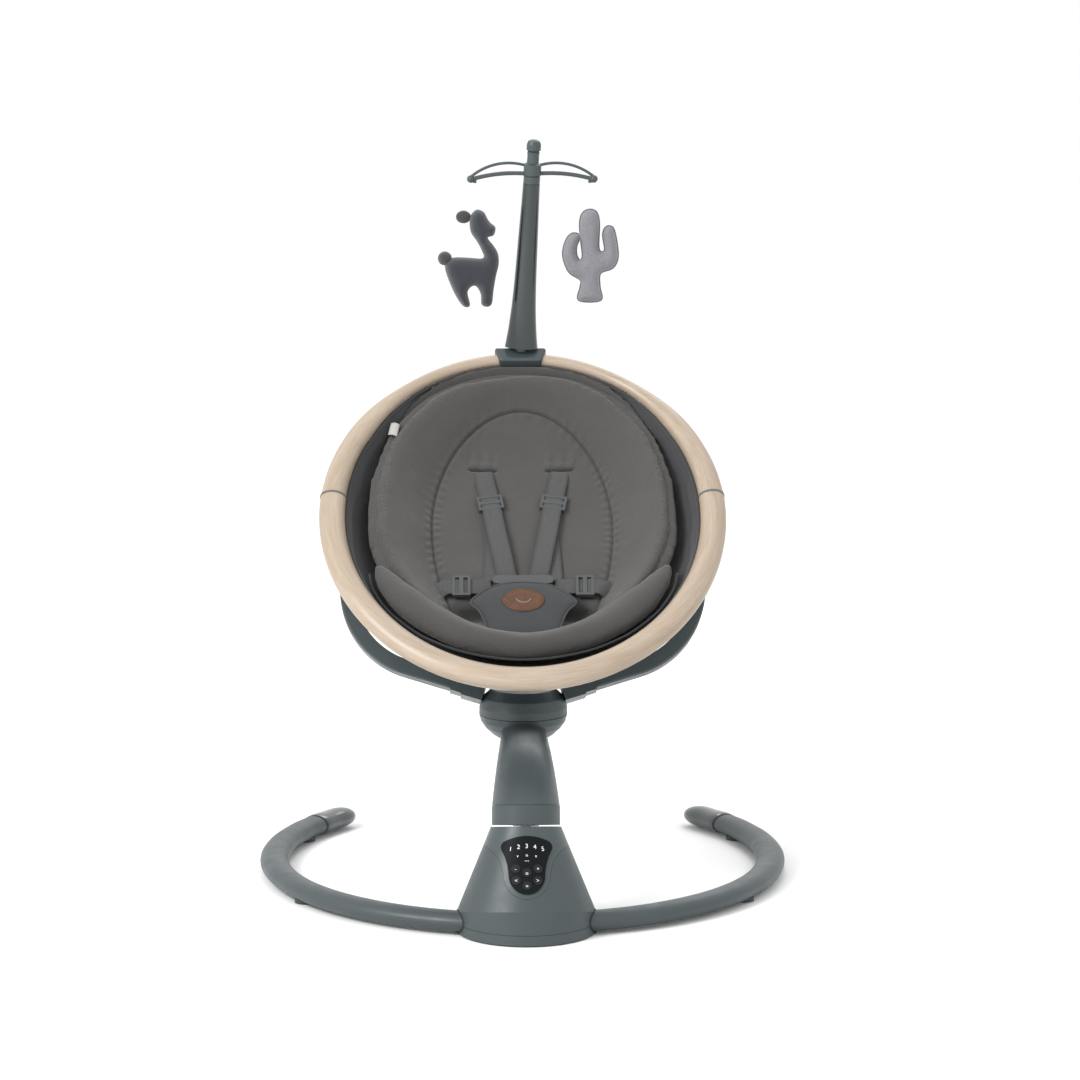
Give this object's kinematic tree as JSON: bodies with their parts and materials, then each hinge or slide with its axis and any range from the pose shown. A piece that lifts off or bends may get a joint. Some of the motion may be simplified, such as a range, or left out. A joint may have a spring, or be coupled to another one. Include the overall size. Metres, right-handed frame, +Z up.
{
  "type": "baby swing",
  "caption": "Powered baby swing: padded hoop seat on a swivelling fork, carried by an arm that swings over a C-shaped floor base, with a detachable toy mast.",
  "frame": {"origin": "on the floor, at the middle of the object's box in X and Y", "axes": "+Z up, -Y towards the drive hub and its control panel (front), +X to the right seen from the front"},
  "size_m": [0.641, 0.6502, 0.8816],
  "materials": {
    "slate_plastic": "satin moulded plastic",
    "slate_light": "satin moulded plastic, lighter",
    "slate_dark": "dark satin plastic",
    "panel_gloss": "gloss black",
    "button_gloss": "gloss black keys",
    "mast_gloss": "smoked gloss",
    "wood": "pale wood look, satin lacquer",
    "seam_grey": "grey plastic",
    "liner_fabric": "plain dark grey weave",
    "inlay_fabric": "melange jersey",
    "webbing": "narrow ribbed webbing",
    "buckle_plastic": "satin grey plastic",
    "pad_fabric": "smooth grey fabric",
    "patch_leather": "tan leather look",
    "felt_dark": "dark slate felt",
    "felt_light": "silver grey felt",
    "nylon": "clear white nylon line",
    "steel": "machined",
    "rubber": "matt",
    "board_green": "coated board",
    "gear_nylon": "natural nylon",
    "motor_can": "zinc can"
  },
  "bodies": {
    "root": {"hub_base_pan": "slate_plastic", "hub_housing": "slate_plastic", "hub_collar": "slate_light", "hub_screws": "steel", "control_panel": "panel_gloss", "control_board": "board_green", "bearing_bridge": "slate_dark", "swing_bearings": "steel", "swing_motor": "motor_can", "motor_bracket": "steel", "dc_inlet": "rubber", "frame_tube_right": "slate_plastic", "frame_tube_left": "slate_plastic", "end_cap_right": "slate_light", "end_cap_left": "slate_light", "tube_trim_rings": "rubber", "foot_pads": "slate_dark"},
    "pinion": {"drive_pinion": "gear_nylon"},
    "swing_arm": {"drive_gear": "gear_nylon", "swing_shaft": "steel", "arm_collar": "slate_plastic", "arm_upper_shell": "slate_light", "arm_lower_shell": "slate_plastic", "arm_core_tube": "steel", "swivel_bowl": "slate_light", "swivel_bolt": "steel", "swivel_bearing": "gear_nylon"},
    "fork": {"swivel_housing": "slate_plastic", "fork_arm_right": "slate_plastic", "fork_arm_left": "slate_plastic", "fork_brackets": "slate_light", "recline_pins": "steel"},
    "seat": {"ring_front": "wood", "ring_rear_right": "wood", "ring_rear_left": "wood", "ring_joint_bands": "seam_grey", "recline_lugs": "slate_plastic", "mast_socket": "slate_light", "seat_liner": "liner_fabric", "seat_inlay": "inlay_fabric", "front_roll": "inlay_fabric", "shoulder_straps": "webbing", "waist_straps": "webbing", "strap_adjusters": "buckle_plastic", "harness_buckle": "buckle_plastic", "crotch_pad": "pad_fabric", "buckle_patch": "patch_leather"},
    "mast": {"mast_post": "mast_gloss"},
    "bow": {"bow_arms": "slate_light", "bow_cap": "slate_plastic"},
    "string_right": {"toy_string_right": "nylon"},
    "string_left": {"toy_string_left": "nylon"},
    "alpaca": {"toy_alpaca": "felt_dark"},
    "cactus": {"toy_cactus": "felt_light"},
    "button_power_body": {"button_power": "button_gloss"},
    "button_melody_body": {"button_melody": "button_gloss"},
    "button_speed_down_body": {"button_speed_down": "button_gloss"},
    "button_speed_up_body": {"button_speed_up": "button_gloss"},
    "button_volume_down_body": {"button_volume_down": "button_gloss"},
    "button_volume_up_body": {"button_volume_up": "button_gloss"}
  },
  "joints": [
    {"name": "swing", "type": "hinge", "parent": "root", "child": "swing_arm", "pos_m": [0, -0.22875, 0.05846], "axis": [0, 0.225, 0.9744], "range_deg": [-16, 16]},
    {"name": "pinion_turn", "type": "hinge", "parent": "root", "child": "pinion", "pos_m": [0, -0.2785, 0.04326], "axis": [0, 0.225, 0.9744], "range_deg": [-50, 50]},
    {"name": "seat_swivel", "type": "hinge", "parent": "swing_arm", "child": "fork", "pos_m": [0, 0.00075, 0.207], "axis": [0, 0, 1], "continuous": true},
    {"name": "seat_recline", "type": "hinge", "parent": "fork", "child": "seat", "pos_m": [0, 0.07435, 0.43923], "axis": [-1, 0, 0], "range_deg": [0, 15]},
    {"name": "mast_lift", "type": "slide", "parent": "seat", "child": "mast", "axis": [0.061, -0.1043, 0.9927], "range_m": [0, 0.022]},
    {"name": "bow_turn", "type": "hinge", "parent": "mast", "child": "bow", "pos_m": [0.01453, 0.21298, 0.84388], "axis": [0.061, -0.1043, 0.9927], "continuous": true},
    {"name": "cactus_swing", "type": "hinge", "parent": "bow", "child": "string_right", "pos_m": [0.08523, 0.21298, 0.82788], "axis": [1, 0, 0], "range_deg": [-25, 25]},
    {"name": "cactus_spin", "type": "hinge", "parent": "string_right", "child": "cactus", "pos_m": [0.08523, 0.21298, 0.79548], "axis": [0, 0, 1], "continuous": true},
    {"name": "alpaca_swing", "type": "hinge", "parent": "bow", "child": "string_left", "pos_m": [-0.05617, 0.21298, 0.82788], "axis": [1, 0, 0], "range_deg": [-25, 25]},
    {"name": "alpaca_spin", "type": "hinge", "parent": "string_left", "child": "alpaca", "pos_m": [-0.05617, 0.21298, 0.79548], "axis": [0, 0, 1], "continuous": true},
    {"name": "button_power_press", "type": "slide", "parent": "root", "child": "button_power_body", "axis": [0, 0.8161, -0.5779], "range_m": [0, 0.0008], "stiffness_N_per_m": 350, "springref_m": -0.0012},
    {"name": "button_melody_press", "type": "slide", "parent": "root", "child": "button_melody_body", "axis": [0, 0.8161, -0.5779], "range_m": [0, 0.0008], "stiffness_N_per_m": 350, "springref_m": -0.0012},
    {"name": "button_speed_down_press", "type": "slide", "parent": "root", "child": "button_speed_down_body", "axis": [0, 0.8161, -0.5779], "range_m": [0, 0.0008], "stiffness_N_per_m": 350, "springref_m": -0.0012},
    {"name": "button_speed_up_press", "type": "slide", "parent": "root", "child": "button_speed_up_body", "axis": [0, 0.8161, -0.5779], "range_m": [0, 0.0008], "stiffness_N_per_m": 350, "springref_m": -0.0012},
    {"name": "button_volume_down_press", "type": "slide", "parent": "root", "child": "button_volume_down_body", "axis": [0, 0.8161, -0.5779], "range_m": [0, 0.0008], "stiffness_N_per_m": 350, "springref_m": -0.0012},
    {"name": "button_volume_up_press", "type": "slide", "parent": "root", "child": "button_volume_up_body", "axis": [0, 0.8161, -0.5779], "range_m": [0, 0.0008], "stiffness_N_per_m": 350, "springref_m": -0.0012}
  ],
  "couplings": [
    {"joint": "pinion_turn", "follows": "swing", "ratio": -3}
  ]
}
